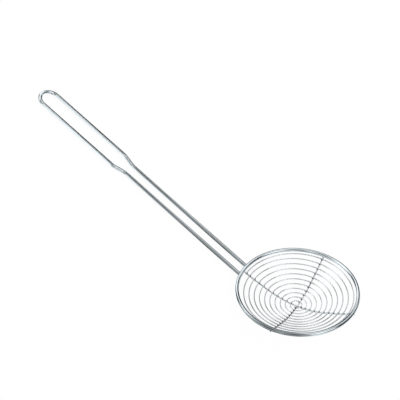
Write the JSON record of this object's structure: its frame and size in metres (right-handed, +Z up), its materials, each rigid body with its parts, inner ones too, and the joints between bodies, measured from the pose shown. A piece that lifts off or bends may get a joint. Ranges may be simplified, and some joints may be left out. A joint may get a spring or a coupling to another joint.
{
  "type": "spider skimmer",
  "caption": "Shallow spiral-wire bowl with a thick wire rim and crossed ribs, on a long hairpin wire handle with a hanging loop.",
  "frame": {"origin": "centre of the handle's end bend, level with the handle wire's centre line", "axes": "+X runs along the handle to the bowl, +Y is across it and +Z is up with the handle lying flat, so the bowl opens upwards and back towards the handle"},
  "size_m": [0.4019, 0.1285, 0.0708],
  "materials": {
    "heavy_wire": "polished bright steel wire",
    "bowl_wire": "polished bright steel wire, drawn thin"
  },
  "bodies": {
    "root": {"handle_wire": "heavy_wire", "rim_ring": "heavy_wire", "long_rib": "bowl_wire", "side_rib": "bowl_wire", "spiral_wire": "bowl_wire"}
  },
  "joints": []
}
